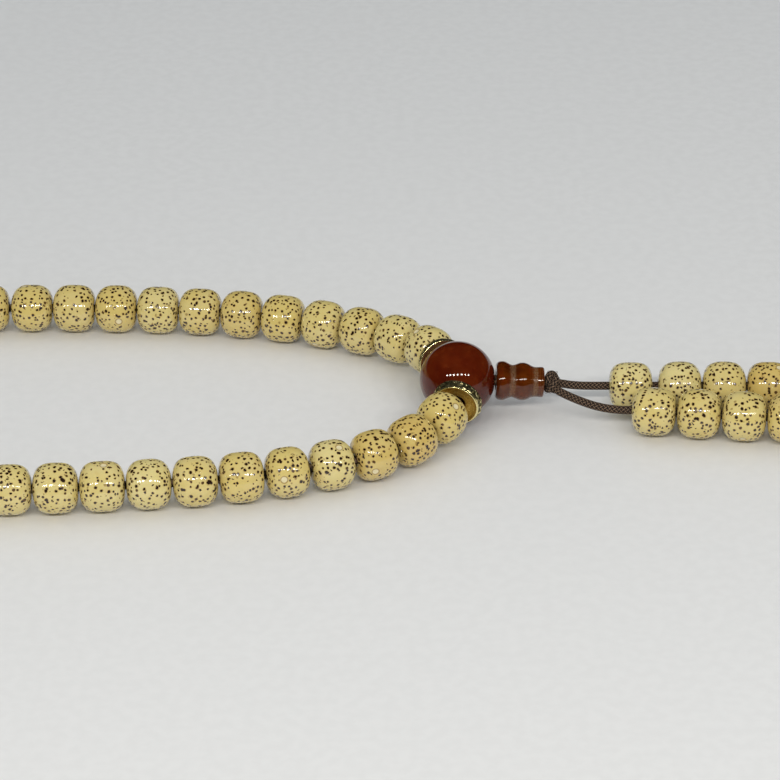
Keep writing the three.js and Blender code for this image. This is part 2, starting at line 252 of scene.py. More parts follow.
# ---- material helpers --------------------------------------------------------------------------
class Nodes:
    """A short way to write a material's node tree."""

    def __init__(self, name):
        self.material = bpy.data.materials.new(name)
        self.material.use_nodes = True
        self.tree = self.material.node_tree
        self.shader = self.tree.nodes["Principled BSDF"]

    def set(self, **sockets):
        for key, value in sockets.items():
            self.shader.inputs[key.replace("_", " ")].default_value = value

    def put(self, socket, value):
        """Links value to the socket, or sets it there if it is a number or colour."""
        if isinstance(value, bpy.types.NodeSocket):
            self.tree.links.new(value, socket)
        else:
            socket.default_value = value

    def wire(self, value, socket):
        self.put(self.shader.inputs[socket], value)

    def math(self, operation, *values):
        node = self.tree.nodes.new("ShaderNodeMath")
        node.operation = operation
        for socket, value in zip(node.inputs, values):
            self.put(socket, value)
        return node.outputs[0]

    def vector(self, operation, *values):
        node = self.tree.nodes.new("ShaderNodeVectorMath")
        node.operation = operation
        for socket, value in zip(node.inputs, values):
            self.put(socket, value)
        return node.outputs[0]

    def ramp(self, value, low, high, to_low=0.0, to_high=1.0):
        """A smooth step of value from low to high."""
        node = self.tree.nodes.new("ShaderNodeMapRange")
        node.interpolation_type = "SMOOTHSTEP"
        for key, number in (("Value", value), ("From Min", low), ("From Max", high),
                            ("To Min", to_low), ("To Max", to_high)):
            self.put(node.inputs[key], number)
        return node.outputs[0]

    def mix(self, share, first, second):
        """A mix of two colours."""
        node = self.tree.nodes.new("ShaderNodeMix")
        node.data_type = "RGBA"
        self.put(node.inputs["Factor"], share)
        for key, value in (("A", first), ("B", second)):
            socket = [s for s in node.inputs if s.name == key and s.type == "RGBA"][0]
            self.put(socket, value if isinstance(value, bpy.types.NodeSocket) else (*value, 1))
        return [s for s in node.outputs if s.type == "RGBA"][0]

    def place(self):
        """The piece's own coordinates, in millimetres."""
        coordinates = self.tree.nodes.new("ShaderNodeTexCoord")
        return self.vector("MULTIPLY", coordinates.outputs["Object"], (1 / MM, 1 / MM, 1 / MM))

    def noise(self, place, scale, detail=3.0, roughness=0.5, colour=False):
        node = self.tree.nodes.new("ShaderNodeTexNoise")
        self.put(node.inputs["Vector"], place)
        self.put(node.inputs["Scale"], scale)
        self.put(node.inputs["Detail"], detail)
        self.put(node.inputs["Roughness"], roughness)
        return node.outputs["Color" if colour else "Fac"]

    def cells(self, place, scale):
        """A Voronoi node, whose outputs give each cell's own colour and centre."""
        node = self.tree.nodes.new("ShaderNodeTexVoronoi")
        self.put(node.inputs["Vector"], place)
        self.put(node.inputs["Scale"], scale)
        return node

    def channels(self, colour):
        """The three channels of a colour."""
        node = self.tree.nodes.new("ShaderNodeSeparateColor")
        self.put(node.inputs[0], colour)
        return node.outputs

    def length(self, value):
        """The length of a vector."""
        node = self.tree.nodes.new("ShaderNodeVectorMath")
        node.operation = "LENGTH"
        self.put(node.inputs[0], value)
        return node.outputs["Value"]

    def normal(self):
        """The surface's direction in the piece's own coordinates."""
        return self.tree.nodes.new("ShaderNodeTexCoord").outputs["Normal"]

    def attribute(self, name):
        node = self.tree.nodes.new("ShaderNodeAttribute")
        node.attribute_name = name
        return node.outputs["Fac"]

    def bump(self, height, depth):
        """A bump of the shader's surface, depth in millimetres."""
        node = self.tree.nodes.new("ShaderNodeBump")
        self.put(node.inputs["Height"], height)
        self.put(node.inputs["Distance"], depth * MM)
        self.wire(node.outputs["Normal"], "Normal")


# ---- materials -----------------------------------------------------------------------------------
def pore_layer(m, place, room, cell, radius, spread, rarity):
    """(share, lot) of one layer of pores, one to a cell at most: share is 0 at a pore's
    middle and 1 at its edge, and lot is the pore's own random number. The distance is
    measured along the surface, so that a pore is a round spot."""
    voronoi = m.cells(place, 1 / cell)
    lots = m.channels(voronoi.outputs["Color"])
    size = m.ramp(lots[0], 0.0, 1.0, radius * (1 - spread), radius * (1 + spread))
    chosen = m.ramp(lots[1], rarity, rarity + 0.02)
    size = m.math("MULTIPLY", m.math("MULTIPLY", size, room), chosen)
    away = m.vector("SUBTRACT", voronoi.outputs["Position"], place)
    across = m.vector("SUBTRACT", away, m.vector("PROJECT", away, m.normal()))
    share = m.math("DIVIDE", m.length(across), m.math("MAXIMUM", size, 0.001))
    return share, lots[2]


def seed_pores(m, place, pit):
    """(pores, halo, hollow, faint): where a seed is dark, browned round a pore, pale in the
    middle of one, and faintly spotted. The pit and some patches have none."""
    wobble = m.vector("SUBTRACT", m.noise(place, 1.7, 2.0, colour=True), (0.5, 0.5, 0.5))
    warped = m.vector("ADD", place, m.vector("MULTIPLY", wobble, (0.36, 0.36, 0.36)))
    patches = m.ramp(m.noise(place, 0.30, 1.0), 0.28, 0.36)
    room = m.math("MULTIPLY", patches, m.ramp(pit, 0.75, 0.95))
    first, lot = pore_layer(m, warped, room, cell=1.16, radius=0.225, spread=0.16, rarity=0.06)
    elsewhere = m.vector("ADD", warped, (17.3, 5.1, 9.7))
    second, _ = pore_layer(m, elsewhere, room, cell=2.1, radius=0.215, spread=0.22, rarity=0.20)
    elsewhere = m.vector("ADD", warped, (3.7, 21.9, 14.2))
    third, _ = pore_layer(m, elsewhere, room, cell=1.9, radius=0.17, spread=0.35, rarity=0.35)
    nearest = m.math("MINIMUM", first, second)
    pores = m.ramp(nearest, 1.12, 0.86)
    halo = m.ramp(nearest, 1.75, 1.0)
    hollow = m.math("MULTIPLY", m.ramp(first, 0.62, 0.35), m.ramp(lot, 0.82, 0.84))
    return pores, halo, hollow, m.ramp(third, 1.2, 0.7)


def seed_ground(m, place):
    """A seed's colour between its pores: ivory to honey by the bead's own tint, clouded,
    blushed in places and finely grained."""
    tint = m.attribute("tint")
    ivory = m.mix(m.ramp(tint, 0.0, 0.5), (0.72, 0.60, 0.24), (0.69, 0.54, 0.175))
    warm = m.mix(m.ramp(tint, 0.5, 1.0), ivory, (0.63, 0.44, 0.125))
    cloud = m.ramp(m.noise(place, 0.22, 2.0), 0.35, 0.70)
    ground = m.mix(cloud, warm, m.mix(tint, (0.75, 0.64, 0.29), (0.64, 0.48, 0.15)))
    blush = m.ramp(m.noise(m.vector("ADD", place, (31.0, 7.0, 13.0)), 0.45, 2.0), 0.58, 0.80)
    ground = m.mix(m.math("MULTIPLY", blush, 0.30), ground, (0.55, 0.36, 0.12))
    grain = m.ramp(m.noise(place, 5.0, 2.0), 0.30, 0.75)
    return m.mix(m.math("MULTIPLY", grain, 0.16), ground, (0.58, 0.46, 0.20))


def seed_material():
    """Polished ivory seed with dark pores: round, doubled or hollow, and missing in patches."""
    m = Nodes("seed")
    place = m.place()
    pit = m.attribute("pit")
    pores, halo, hollow, faint = seed_pores(m, place, pit)
    body = seed_ground(m, place)
    body = m.mix(m.math("MULTIPLY", halo, 0.48), body, (0.30, 0.14, 0.03))
    body = m.mix(m.math("MULTIPLY", faint, 0.60), body, (0.20, 0.095, 0.026))
    body = m.mix(pores, body, (0.020, 0.0070, 0.0020))
    body = m.mix(m.math("MULTIPLY", hollow, 0.70), body, (0.22, 0.10, 0.030))

    # The pit has a pale floor and a brown rim.
    rim = m.math("MULTIPLY", m.ramp(pit, 0.44, 0.60), m.ramp(pit, 0.80, 0.66))
    body = m.mix(m.ramp(pit, 0.62, 0.52), body, (0.80, 0.70, 0.42))
    body = m.mix(m.math("MULTIPLY", rim, 0.70), body, (0.30, 0.17, 0.05))
    m.wire(body, "Base Color")

    # The polish is duller in the pores, which lie a little deeper.
    shine = m.ramp(m.noise(place, 1.3, 3.0), 0.30, 0.75, 0.05, 0.12)
    m.wire(m.math("ADD", shine, m.math("MULTIPLY", pores, 0.16)), "Roughness")
    relief = m.math("SUBTRACT", m.math("MULTIPLY", m.noise(place, 2.2, 2.0), 0.35), pores)
    m.bump(relief, 0.03)
    m.set(IOR=1.52, Coat_Weight=0.45, Coat_Roughness=0.025, Subsurface_Weight=0.06,
          Subsurface_Radius=(1.0, 0.6, 0.25), Subsurface_Scale=0.0005)
    return m.material


def agate_material():
    """Deep red-brown translucent stone, cloudy inside."""
    m = Nodes("agate")
    place = m.place()
    cloud = m.ramp(m.noise(place, 0.16, 4.0, 0.55), 0.32, 0.68)
    deep = m.mix(cloud, (0.070, 0.0060, 0.0018), (0.120, 0.0170, 0.0034))
    veil = m.ramp(m.noise(m.vector("ADD", place, (5.0, 11.0, 3.0)), 0.5, 3.0), 0.55, 0.78)
    deep = m.mix(m.math("MULTIPLY", veil, 0.30), deep, (0.20, 0.040, 0.008))
    specks = m.ramp(m.noise(place, 4.5, 2.0), 0.66, 0.74)
    m.wire(m.mix(m.math("MULTIPLY", specks, 0.18), deep, (0.30, 0.07, 0.03)), "Base Color")
    m.wire(m.ramp(m.noise(place, 1.1, 3.0), 0.35, 0.75, 0.03, 0.07), "Roughness")
    m.bump(m.noise(place, 1.5, 2.0), 0.004)
    m.set(IOR=1.46, Coat_Weight=0.10, Coat_Roughness=0.02, Subsurface_Weight=0.25,
          Subsurface_Radius=(1.0, 0.18, 0.06), Subsurface_Scale=0.0015)
    return m.material


def carnelian_material():
    """Orange-brown stone, polished on its bulges and left frosted in its grooves."""
    m = Nodes("carnelian")
    place = m.place()
    along = m.attribute("along")
    cloud = m.ramp(m.noise(place, 0.35, 3.0), 0.3, 0.7)
    stone = m.mix(cloud, (0.055, 0.0085, 0.0010), (0.105, 0.0210, 0.0018))
    band = m.ramp(m.noise(m.vector("MULTIPLY", place, (1.6, 0.5, 0.5)), 0.8, 2.0), 0.5, 0.8)
    stone = m.mix(m.math("MULTIPLY", band, 0.35), stone, (0.150, 0.009, 0.004))
    ragged = m.math("ADD", along, m.math("MULTIPLY", m.noise(place, 3.0, 3.0), 0.5))

    def groove(middle, width):
        """1 within a ragged band round the bead, at its middle along the axis."""
        off = m.math("ABSOLUTE", m.math("SUBTRACT", ragged, middle + 0.25))
        return m.ramp(off, width, width * 0.35)

    frost = m.math("MAXIMUM", groove(2.90, 0.75), groove(7.05, 0.62))
    chalk = m.ramp(m.noise(place, 6.0, 2.0), 0.35, 0.70, 0.25, 0.85)
    frost = m.math("MULTIPLY", frost, chalk)
    # The collar keeps fine lines from turning.
    lines = m.math("SINE", m.math("MULTIPLY", along, 21.0))
    turned = m.math("MULTIPLY", m.ramp(lines, 0.55, 0.95), m.ramp(along, 5.6, 6.8))
    stone = m.mix(m.math("MULTIPLY", turned, 0.30), stone, (0.30, 0.15, 0.05))
    m.wire(m.mix(m.math("MULTIPLY", frost, 0.60), stone, (0.30, 0.17, 0.075)), "Base Color")
    m.wire(m.ramp(frost, 0.0, 0.8, 0.07, 0.50), "Roughness")
    relief = m.math("ADD", m.math("MULTIPLY", m.noise(place, 9.0, 2.0), frost),
                    m.math("MULTIPLY", turned, 0.5))
    m.bump(relief, 0.03)
    m.set(IOR=1.48, Coat_Weight=0.15, Coat_Roughness=0.03, Subsurface_Weight=0.25,
          Subsurface_Radius=(1.0, 0.30, 0.08), Subsurface_Scale=0.0010)
    return m.material


def gold_material():
    """Plated metal: a bright lip, a hammered rim with painted shade in its dents and painted dark
    reflection in patches, and a grainy dish.
    """
    m = Nodes("gold")
    place = m.place()
    radius = m.attribute("from_axis")
    dent = m.attribute("dent")
    band = m.attribute("band")
    dish = m.ramp(radius, 3.86, 3.66)
    grain = m.ramp(m.noise(place, 5.0, 4.0, 0.6), 0.30, 0.72)
    gold = m.mix(grain, (0.86, 0.72, 0.30), (0.98, 0.90, 0.52))
    gold = m.mix(dish, gold, m.mix(grain, (0.66, 0.40, 0.070), (1.0, 0.80, 0.28)))
    # The hammered band is darkened in two ways: painted shade in its dents, and painted dark
    # reflection in noise patches, so the metal looks as if it mirrored dark surroundings.
    painted_reflection_patches = m.ramp(m.noise(place, 1.7, 3.0, 0.55), 0.50, 0.42)
    painted_shade_and_reflection = m.math("MULTIPLY", m.math("MAXIMUM", m.ramp(dent, 0.10, 0.60), painted_reflection_patches), band)
    # The dark olive (0.055, 0.052, 0.022) is the colour of that painted shade and painted dark
    # reflection.
    m.wire(m.mix(m.math("MULTIPLY", painted_shade_and_reflection, 0.90), gold, (0.055, 0.052, 0.022)), "Base Color")
    rough = m.math("ADD", m.ramp(grain, 0.0, 1.0, 0.13, 0.24), m.math("MULTIPLY", dish, 0.20))
    m.wire(m.math("ADD", rough, m.math("MULTIPLY", painted_shade_and_reflection, 0.25)), "Roughness")
    bumps = m.math("SUBTRACT", m.noise(place, 3.5, 3.0), m.math("MULTIPLY", painted_shade_and_reflection, 0.8))
    m.bump(bumps, 0.03)
    m.set(Metallic=0.95)
    return m.material


def cord_material():
    """Dark braid: tan flecks on some strands, painted shade in the crevices between them, with fine
    fibres.
    """
    m = Nodes("cord")
    place = m.place()
    fleck = m.attribute("fleck")
    height = m.attribute("height")
    fibre = m.ramp(m.noise(place, 14.0, 3.0, 0.65), 0.30, 0.72)
    dark = m.mix(fibre, (0.005, 0.0026, 0.0018), (0.018, 0.0095, 0.0065))
    pale = m.mix(fibre, (0.085, 0.046, 0.027), (0.38, 0.255, 0.165))
    yarn = m.mix(fleck, dark, pale)
    # Where a strand's height is low, the colour is darkened towards near black: painted shade in
    # the crevices between strands.
    m.wire(m.mix(m.ramp(height, 0.55, 0.10), yarn, (0.008, 0.005, 0.004)), "Base Color")
    m.wire(m.ramp(fibre, 0.0, 1.0, 0.62, 0.85), "Roughness")
    m.bump(m.noise(place, 20.0, 2.0), 0.05)
    m.set(IOR=1.35, Sheen_Weight=0.02, Sheen_Roughness=0.45)
    return m.material


SEED = seed_material()
AGATE = agate_material()
CARNELIAN = carnelian_material()
GOLD = gold_material()
CORD = cord_material()


# ---- braided cord ----------------------------------------------------------------------------
FLECK_EVERY = 3          # one strand in this many is flecked, and strands is a multiple of it
HIDDEN_BRAID = {"sides": 16, "strands": 4}     # for cord inside the beads
CORD_STEP = 0.06         # between a braid's rings where it is seen


def tube_frames(path):
    """For each point of the path: its direction and two directions across it, untwisted."""
    tangents = np.gradient(path, axis=0)
    tangents /= np.linalg.norm(tangents, axis=1)[:, None]
    across = np.cross(tangents[0], (0, 0, 1.0))
    across /= np.linalg.norm(across)
    firsts = []
    for tangent in tangents:
        across = across - tangent * (across @ tangent)
        across = across / np.linalg.norm(across)
        firsts.append(across)
    firsts = np.array(firsts)
    return tangents, firsts, np.cross(tangents, firsts)


def weave(one, other):
    """(height, fleck) of a braid whose strands are numbered one by one across each way: the
    height is 1 on top of a strand, and fleck is 1 on a flecked strand that lies on top."""
    ridge_one = np.sqrt(np.maximum(0, 1 - (2 * (one % 1) - 1) ** 2))
    ridge_other = np.sqrt(np.maximum(0, 1 - (2 * (other % 1) - 1) ** 2))
    sign_one = np.where(np.floor(one) % 2, -1, 1)
    sign_other = np.where(np.floor(other) % 2, -1, 1)
    over_one = ridge_one * (0.5 + 0.5 * np.sin(math.pi * other) * sign_one)
    over_other = ridge_other * (0.5 - 0.5 * np.sin(math.pi * one) * sign_other)
    is_fleck = np.where(over_one > over_other, np.floor(one) % FLECK_EVERY == 0,
                        np.floor(other) % FLECK_EVERY == 1)
    return np.maximum(over_one, over_other), is_fleck.astype(float)


def braid(name, path, radius, closed=False, sides=72, strands=18, relief=0.08):
    """A braid along the path: strands that wind both ways and pass over and under."""
    path = np.array(path, float)
    if closed:
        path = np.vstack([path, path[:1]])
    steps = np.linalg.norm(np.diff(path, axis=0), axis=1)
    run = np.concatenate([[0.0], np.cumsum(steps)])
    _, first, second = tube_frames(path)
    spacing = 2 * math.pi * radius / strands
    if closed:
        spacing = run[-1] / max(2, round(run[-1] / spacing / 2) * 2)
    turn = np.arange(sides) / sides
    u = np.tile(turn * strands, len(path))
    v = np.repeat(run / spacing, sides)
    height, fleck = weave(u + v, u - v)
    reach = radius - relief + relief * height
    angle = np.tile(turn * 2 * math.pi, len(path))
    verts = (np.repeat(path, sides, axis=0)
             + np.repeat(first, sides, axis=0) * (reach * np.cos(angle))[:, None]
             + np.repeat(second, sides, axis=0) * (reach * np.sin(angle))[:, None])
    if closed:
        rings = len(path) - 1
        verts, height, fleck = (x[:rings * sides] for x in (verts, height, fleck))
        faces = grid_faces(rings, sides, True)
    else:
        last = (len(path) - 1) * sides
        start, end = len(verts), len(verts) + 1
        verts = np.vstack([verts, path[:1], path[-1:]])
        height = np.append(height, [0.5, 0.5])
        fleck = np.append(fleck, [0.0, 0.0])
        faces = grid_faces(len(path), sides, False)
        for k in range(sides):
            after = (k + 1) % sides
            faces.append((start, after, k))
            faces.append((end, last + k, last + after))
    return new_piece(name, verts, faces, CORD, {"height": height, "fleck": fleck})


def knot_path(centre, axis, ring, swing, thick, count=320):
    """A trefoil, the tightened overhand knot's shape, round an axis: ring is its middle
    radius, swing what it winds in and out, and thick what it winds to and fro."""
    along, across, up = (np.array(v) for v in basis(axis))
    t = np.arange(count) / count * 2 * math.pi
    reach = ring + swing * np.cos(3 * t)
    return (np.array(centre) + np.outer(thick * np.sin(3 * t), along)
            + np.outer(reach * np.cos(2 * t), across) + np.outer(reach * np.sin(2 * t), up))


# ---- seed beads --------------------------------------------------------------------------------
SEED_SIDES = 60
SEED_RINGS = 34
PIT_RADIUS = 0.70
PIT_DEPTH = 0.17


def seed_outline(length, radius, power, pit_along):
    """(along, radius) from one bore edge to the other, closer together beside the pit."""
    edge = BEAD_BORE + 0.18
    start = math.asin((edge / radius) ** (power / 2))
    t = np.linspace(start, math.pi - start, 600)
    a = np.sign(np.cos(t)) * np.abs(np.cos(t)) ** (2 / power) * length / 2
    r = radius * np.sin(t) ** (2 / power)
    step = np.hypot(np.diff(a), np.diff(r))
    weight = step * (1 + 1.6 * np.exp(-((a[1:] - pit_along) / 1.1) ** 2))
    share = np.concatenate([[0], np.cumsum(weight)])
    wanted = np.linspace(0, share[-1], SEED_RINGS)
    outline = np.column_stack([np.interp(wanted, share, a), np.interp(wanted, share, r)])
    deep = outline[0, 0] - 0.2
    bore = [(-deep, BEAD_BORE), (0, BEAD_BORE), (deep, BEAD_BORE)]
    return np.vstack([outline, bore])


def seed_lumps(a, t, rng):
    """Shallow waves round a bead, at the angles t and the places a along it."""
    phase = [rng.uniform(0, 2 * math.pi) for _ in range(3)]
    size = [rng.uniform(0.2, 1.0) for _ in range(3)]
    return (size[0] * 0.030 * np.cos(2 * t + phase[0])
            + size[1] * 0.022 * np.cos(3 * t + phase[1] + a * 0.35)
            + size[2] * 0.018 * np.cos(5 * t + phase[2] - a * 0.5))


def round_axis(a, r, t):
    """Points at the places a along an axis, the distances r from it and the angles t."""
    return np.column_stack([a, r * np.cos(t), r * np.sin(t)])


def seed_bead(name, centre, axis, length, rng, thinner=0.0):
    """One seed: a barrel with rounded shoulders, a little uneven, with one round pit."""
    power = rng.uniform(2.75, 3.15)
    radius = BEAD_RADIUS * rng.uniform(0.985, 1.0) - thinner
    pit_angle = rng.uniform(0, 2 * math.pi)
    pit_along = rng.uniform(-1.9, 1.9)
    outline = seed_outline(length * rng.uniform(0.99, 1.0), radius, power, pit_along)
    even = np.arange(SEED_SIDES) / SEED_SIDES * 2 * math.pi
    angles = pit_angle + even - 0.62 * np.sin(even)      # closer together beside the pit
    a = np.repeat(outline[:, 0], SEED_SIDES)
    r = np.repeat(outline[:, 1], SEED_SIDES)
    t = np.tile(angles, len(outline))
    outer = np.arange(len(a)) < SEED_RINGS * SEED_SIDES
    belly = np.clip((r / radius - 0.5) * 2, 0, 1)
    r = np.where(outer, r + (seed_lumps(a, t, rng) - 0.045) * belly, r)

    local = round_axis(a, r, t)
    pit_radius = np.interp(pit_along, outline[:SEED_RINGS, 0][::-1], outline[:SEED_RINGS, 1][::-1])
    pit = round_axis(np.array([pit_along]), np.array([pit_radius]), np.array([pit_angle]))
    off = np.where(outer, np.linalg.norm(local - pit, axis=1), 9.0)
    hollow = np.where(off < PIT_RADIUS, PIT_DEPTH * (1 - (off / PIT_RADIUS) ** 2), 0)
    raised = 0.022 * np.exp(-((off - 0.80) / 0.16) ** 2)
    local[:, 1:] *= (1 + (raised - hollow) / np.maximum(r, 1.0))[:, None]

    along, across, up = (np.array(v) for v in basis(axis))
    verts = (np.array(centre) + np.outer(local[:, 0], along)
             + np.outer(local[:, 1], up) + np.outer(local[:, 2], across))
    tint = min(1.0, max(0.0, rng.gauss(0.38, 0.24)))
    faces = grid_faces(len(outline), SEED_SIDES, True)
    return new_piece(name, verts, faces, SEED,
                     {"tint": np.full(len(verts), tint), "pit": np.minimum(off, 3.0)})


def joint_place(name):
    """A joint's point in millimetres and its axis."""
    return Vector(JOINTS[name]["pos_m"]) / MM, Vector(JOINTS[name]["axis"])


def middle_of(node):
    """The middle of a CAD node's box, in millimetres."""
    low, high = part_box(node)
    return (low + high) / 2 / MM


# An arm's far end starts across the loop at the tip and turns to run along it, through an
# angle that dies away exponentially. These are the curve's reach across the loop, and its
# length beyond its reach along the loop, both as shares of the length over which it decays.
FAR_ACROSS = 1.3708
FAR_EXCESS = 0.5568
WALK_STEP = 0.05


def far_arm(arm):
    """The far end of one arm, from the tip on: (bead centres, bead directions, points of the
    cord). It reaches as far as the other arm does beside the guru bead, so the loop closes."""
    side = -1 if arm == "front" else 1
    other = "rear" if arm == "front" else "front"
    reach_vector = joint_place(f"loop_shoulder_{other}")[0] - GURU
    own_end = joint_place("loop_end_front")[0]
    front_vector = joint_place("loop_shoulder_rear")[0] - GURU
    tip = Vector((own_end.x + front_vector.x, own_end.y + front_vector.y, BEAD_RADIUS))
    reach = abs(reach_vector.y)
    decay = (reach - TIP_STRAIGHT) / FAR_ACROSS
    length = abs(reach_vector.x) + TIP_STRAIGHT + FAR_EXCESS * decay
    span = length - TIP_ROOM / 2 - (GAP + HINGE_ROOM) / 2
    pitch = (span - JOIN) / FAR_BEADS
    first = (TIP_ROOM + JOIN) / 2
    stops = [first + (i + 0.5) * pitch for i in range(FAR_BEADS)]
    cord_stops = np.linspace(TIP_CORD, length + 0.05, 160)

    def heading(s):
        return math.pi / 2 * math.exp(-max(s - TIP_STRAIGHT, 0) / decay)

    def walk(wanted_stops):
        x = y = s = 0.0
        places, ways = [], []
        for wanted in wanted_stops:
            while s < wanted - 1e-9:
                ds = min(WALK_STEP, wanted - s)
                angle = heading(s + ds / 2)
                x, y, s = x + math.cos(angle) * ds, y + math.sin(angle) * ds, s + ds
            angle = heading(s)
            places.append(Vector((tip.x + x, tip.y + side * y, BEAD_RADIUS)))
            ways.append(Vector((math.cos(angle), side * math.sin(angle), 0)))
        return places, ways

    places, ways = walk(stops)
    return places, ways, walk(cord_stops)[0]


def loop_beads(arm):
    """(node, centre, axis, length) of each of an arm's beads, from the guru bead on."""
    for i in range(NEAR_BEADS):
        node = f"bead_{arm}_{i + 1:02d}"
        centre, axis = joint_place(f"spin_{node}")
        length = NEAR_LENGTH + (ROW_LENGTH - NEAR_LENGTH) * min(1, max(0, i - 2) / 5)
        yield node, centre, axis, length
    runs = (LONG_RUN, SHORT_RUN) if arm == "front" else (SHORT_RUN, LONG_RUN)
    for part, count in zip(("near", "far"), runs):
        node = f"run_{part}_{arm}"
        low, high = (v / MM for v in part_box(node))
        pitch = (high.x - low.x) / count
        for i in range(count):
            centre = Vector((high.x - (i + 0.5) * pitch, (low.y + high.y) / 2, BEAD_RADIUS))
            yield node, centre, (-1, 0, 0), min(ROW_LENGTH, pitch - ROW_ROOM)
    centres, ways, _ = far_arm(arm)
    for centre, way in zip(centres[::-1], ways[::-1]):
        yield f"run_end_{arm}", centre, way, NEAR_LENGTH


def string_beads(arm):
    """(node, centre, axis) of each bead of a counter string, from the knot on."""
    first = f"counter_{arm}_01"
    yield first, middle_of(first), -Vector(JOINTS[f"counter_slide_{arm}"]["axis"])
    for i in range(1, COUNTER_BEADS):
        node = f"counter_{arm}_{i + 1:02d}"
        yield node, *joint_place(f"spin_{node}")


def add_seeds():
    """Every seed bead, each riding on its own body or its row's. Returns the counter beads."""
    rng = random.Random(108)
    strings = {}
    for arm in ARMS:
        for number, (node, centre, axis, length) in enumerate(loop_beads(arm), 1):
            piece = seed_bead(f"seed_{arm}_{number:02d}", centre, axis, length, rng)
            finish_piece(piece, node, node)
        strings[arm] = []
        for number, (node, centre, axis) in enumerate(string_beads(arm), 1):
            thinner = COUNTER_THINNER if number == 1 else 0.0
            piece = seed_bead(f"seed_{node}", centre, axis, ROW_LENGTH, rng, thinner)
            finish_piece(piece, node, node)
            strings[arm].append(piece)
    return strings


# ---- counter strings -----------------------------------------------------------------------------
# Each counter cord's route from the knot to its row: x and y from the guru bead's centre, and
# the height above the table.
LEGS = {
    "rear": [(18.55, 0.3, 5.3), (20.4, 0.3, 4.95), (22.2, 0.5, 4.65)],
    "front": [(17.95, -2.1, 5.25), (19.4, -3.5, 5.05), (21.6, -5.1, 4.8), (24.4, -6.8, 4.6)],
}


def counter_string(arm, beads):
    """The braided cord of a counter string, its end knot and its cut tail."""
    first = middle_of(f"counter_{arm}_01")
    along = -Vector(JOINTS[f"counter_slide_{arm}"]["axis"])
    shift = COUNTER_SHIFT if arm == "rear" else 0
    last_face = (COUNTER_BEADS - 1) * PITCH + shift + SOLID_LENGTH / 2
    knot_start = last_face + 2 * GAP
    cord_end = knot_start - GAP - 0.05
    row = [first + along * d for d in (-SOLID_LENGTH / 2 - LEG_STRAIGHT, -SOLID_LENGTH / 2, 0)]
    row += [first + along * (cord_end * k / 10) for k in range(1, 11)]
    leg = [Vector((GURU.x + x, GURU.y + y, z)) for x, y, z in LEGS[arm]]
    inside = KNOT + (leg[0] - KNOT) * 0.35
    seen = spline([inside, *leg, *row[:3]], CORD_STEP)
    hidden = spline(row[2:], 5 * CORD_STEP)
    path = np.vstack([seen, hidden[1:]])
    cord = braid(f"cord_counter_{arm}", path, CORD_RADIUS)

    middle = first + along * (knot_start + END_KNOT_LENGTH / 2)
    knot_route = knot_path(middle, along, ring=0.80, swing=0.38, thick=0.92)
    knot = braid(f"knot_counter_{arm}", knot_route, 0.62, closed=True)
    finish_piece(knot, f"counter_{arm}", f"counter_knot_{arm}")
    tail_from = first + along * (knot_start - GAP - 0.2)
    tail_to = first + along * (knot_start + END_KNOT_LENGTH + TAIL_LENGTH)
    tail_path = spline([tail_from, (tail_from + tail_to) / 2, tail_to], CORD_STEP)
    tail = braid(f"tail_counter_{arm}", tail_path, CORD_RADIUS)
    finish_piece(tail, f"counter_{arm}", f"counter_knot_{arm}")

    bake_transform(cord)
    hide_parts(f"counter_cord_{arm}")
    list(beads)


# ---- loop cord -----------------------------------------------------------------------------------
def loop_cords():
    """The loop's cord in the stretches that ride together, each reaching into its neighbour."""
    for arm in ARMS:
        beads = [joint_place(f"spin_bead_{arm}_{i + 1:02d}")[0] for i in range(NEAR_BEADS)]
        spacer = joint_place(f"spin_spacer_{arm}")[0]
        shoulder = joint_place(f"loop_shoulder_{arm}")[0]
        shoulder.z = BEAD_RADIUS
        inside = GURU + (spacer - GURU) * 0.93
        near = spline([inside, spacer, *beads, shoulder + Vector((-0.8, 0, 0))], 0.25)
        piece = braid(f"cord_near_{arm}", near, CORD_RADIUS, **HIDDEN_BRAID)
        finish_piece(piece, f"near_{arm}", f"loop_cord_{arm}")
        for part in ("near", "far"):
            node = f"run_{part}_{arm}"
            low, high = (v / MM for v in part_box(node))
            y = (low.y + high.y) / 2
            count = int((high.x - low.x) / 0.3)
            line = [(x, y, BEAD_RADIUS) for x in np.linspace(high.x + 0.5, low.x - 0.5, count)]
            piece = braid(f"cord_run_{part}_{arm}", line, CORD_RADIUS, **HIDDEN_BRAID)
            finish_piece(piece, node, node)
        piece = braid(f"cord_end_{arm}", far_arm(arm)[2], CORD_RADIUS, **HIDDEN_BRAID)
        finish_piece(piece, f"run_end_{arm}", f"run_end_{arm}")


# ---- guru bead, spacers, stupa bead, knot --------------------------------------------------------
SPACER_SIDES = 180
DENTS = 300              # on each spacer
DENT_DEPTH = 0.14
FIBRES = 60
FIBRE_RADIUS = 0.03


def guru_bead():
    """A polished ball with two side bores for the loop's cord and one for the stem."""
    mesh = bpy.data.meshes.new("guru_stone")
    shape = bmesh.new()
    bmesh.ops.create_icosphere(shape, subdivisions=6, radius=GURU_RADIUS * MM)
    bmesh.ops.translate(shape, verts=shape.verts, vec=GURU * MM)
    shape.to_mesh(mesh)
    shape.free()
    mesh.materials.append(AGATE)
    piece = link_object("guru_stone", mesh)
    ways = [joint_place(f"spin_spacer_{arm}")[0] - GURU for arm in ARMS]
    for way in (*ways, STEM):
        drill = bore_cutter(GURU, way.normalized(), GURU_BORE)
        cut = piece.modifiers.new("bore", "BOOLEAN")
        cut.operation, cut.object, cut.solver = "DIFFERENCE", drill, "EXACT"
        apply_modifiers(piece)
        bpy.data.objects.remove(drill)
    piece.data.shade_smooth()
    sharpen(piece, 35)
    finish_piece(piece, "guru", "guru_bead")


